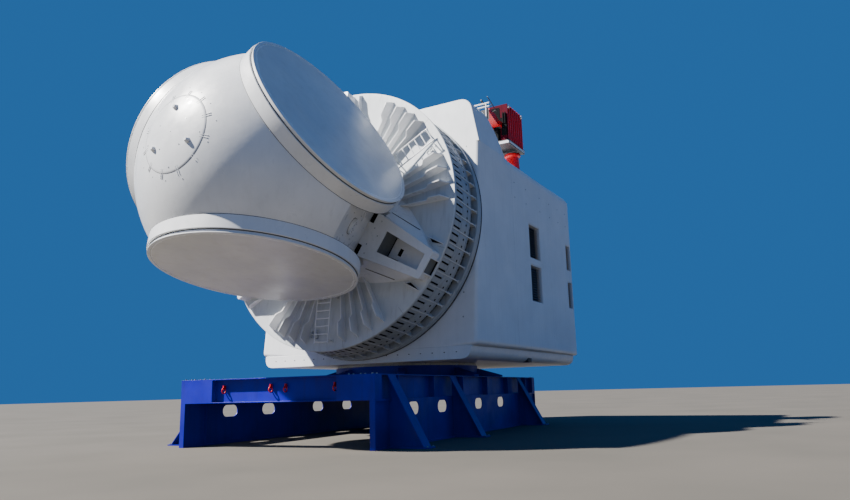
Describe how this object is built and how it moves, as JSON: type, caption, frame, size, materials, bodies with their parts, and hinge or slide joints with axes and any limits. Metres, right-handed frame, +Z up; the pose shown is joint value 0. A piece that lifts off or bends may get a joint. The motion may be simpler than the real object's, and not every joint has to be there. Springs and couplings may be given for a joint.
{
  "type": "wind turbine nacelle",
  "caption": "Direct-drive wind turbine nacelle with generator, ladder-lined dish and blade hub, a roof crane, and the steel transport stand that carries it.",
  "frame": {"origin": "on the floor, under the middle of the bounding box", "axes": "+X towards the nose of the hub, +Y towards the left side of the nacelle, +Z up"},
  "size_m": [21.3422, 10.7974, 14.5703],
  "materials": {
    "white_paint": "semi-gloss coating",
    "port_cover": "coated tarpaulin, stretched",
    "louvre": "matt grey coating",
    "blue_paint": "semi-gloss coating",
    "red_paint": "semi-gloss coating",
    "machined_steel": "machined, oiled",
    "dark_steel": "matt dark coating"
  },
  "bodies": {
    "stand": {"stand_front_beam": "blue_paint", "stand_rear_beam": "blue_paint", "stand_left_side": "blue_paint", "stand_right_side": "blue_paint", "stand_girders": "blue_paint", "pedestal": "blue_paint", "shackle_1": "red_paint", "shackle_2": "red_paint", "shackle_3": "red_paint", "shackle_4": "red_paint"},
    "nacelle": {"nacelle_housing": "white_paint", "nacelle_hump": "white_paint", "nacelle_belly": "white_paint", "main_axle": "machined_steel", "yaw_ring": "machined_steel", "hump_guard_rail": "white_paint", "left_louvre_1": "louvre", "left_louvre_2": "louvre", "left_louvre_3": "louvre", "left_louvre_4": "louvre", "right_louvre_1": "louvre", "right_louvre_2": "louvre", "right_louvre_3": "louvre", "right_louvre_4": "louvre", "crane_column": "red_paint"},
    "rotor": {"rotor_dish": "white_paint", "generator_drum": "white_paint", "hub_casting": "white_paint", "nose_hatch": "white_paint", "blade_bearing_1": "white_paint", "blade_bearing_2": "white_paint", "blade_bearing_3": "white_paint", "blade_cover_1": "port_cover", "blade_cover_2": "port_cover", "blade_cover_3": "port_cover", "dish_ladder_1": "white_paint", "dish_ladder_2": "white_paint", "dish_ladder_3": "white_paint", "torque_arm_1": "white_paint", "torque_arm_2": "white_paint", "torque_arm_3": "white_paint"},
    "crane": {"crane_deck": "louvre", "crane_house": "red_paint"},
    "boom": {"crane_boom": "red_paint", "crane_boom_tip": "dark_steel"}
  },
  "joints": [
    {"name": "yaw", "type": "hinge", "parent": "stand", "child": "nacelle", "pos_m": [-2.37106, -0.17175, 2.5905], "axis": [0, 0, 1], "continuous": true},
    {"name": "rotor_spin", "type": "hinge", "parent": "nacelle", "child": "rotor", "pos_m": [2.72894, -0.17175, 8.19], "axis": [0.9933, 0, 0.116], "continuous": true},
    {"name": "crane_slew", "type": "hinge", "parent": "nacelle", "child": "crane", "pos_m": [-6.42106, 3.52825, 12.6], "axis": [0, 0, 1], "range_deg": [-180, 180]},
    {"name": "boom_luff", "type": "hinge", "parent": "crane", "child": "boom", "pos_m": [-4.60106, 3.52825, 13.56], "axis": [0, -1, 0], "range_deg": [-20, 50]}
  ]
}
